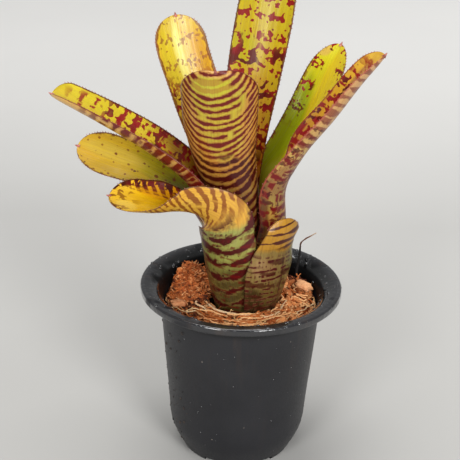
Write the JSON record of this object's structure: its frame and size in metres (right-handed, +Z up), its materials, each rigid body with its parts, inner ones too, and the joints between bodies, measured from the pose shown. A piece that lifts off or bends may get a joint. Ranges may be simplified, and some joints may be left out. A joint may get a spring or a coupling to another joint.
{
  "type": "potted bromeliad",
  "caption": "Vase-shaped bromeliad rosette of banded strap leaves growing in coir mix in a round nursery pot with a flared rim.",
  "frame": {"origin": "centre of the pot's flat underside", "axes": "+Z up along the pot's axis; +Y away from the rosette's front leaf, towards its tall leaf; +X towards its right-hand leaves"},
  "size_m": [0.1596, 0.105, 0.2586],
  "materials": {
    "pot": "satin black moulded plastic",
    "mix": "damp shredded coconut husk",
    "stem": "matt fibrous stem",
    "leaf": "glossy tough leaf with maroon bands",
    "root": "pale dry root",
    "husk": "fibrous coconut husk"
  },
  "bodies": {
    "root": {"nursery_pot": "pot", "coir_mix": "mix", "stem": "stem", "leaf_tall": "leaf", "leaf_back_left": "leaf", "leaf_front": "leaf", "leaf_back_right": "leaf", "leaf_left_upper": "leaf", "leaf_left_lower": "leaf", "leaf_right": "leaf", "leaf_front_left": "leaf", "leaf_stub": "leaf", "root_front": "root", "root_front_left": "root", "root_front_right": "root", "husk_chip_left": "husk", "husk_chip_front": "husk", "husk_chip_front_right": "husk", "husk_chip_right": "husk", "husk_chip_back": "husk", "husk_twig": "husk"}
  },
  "joints": []
}
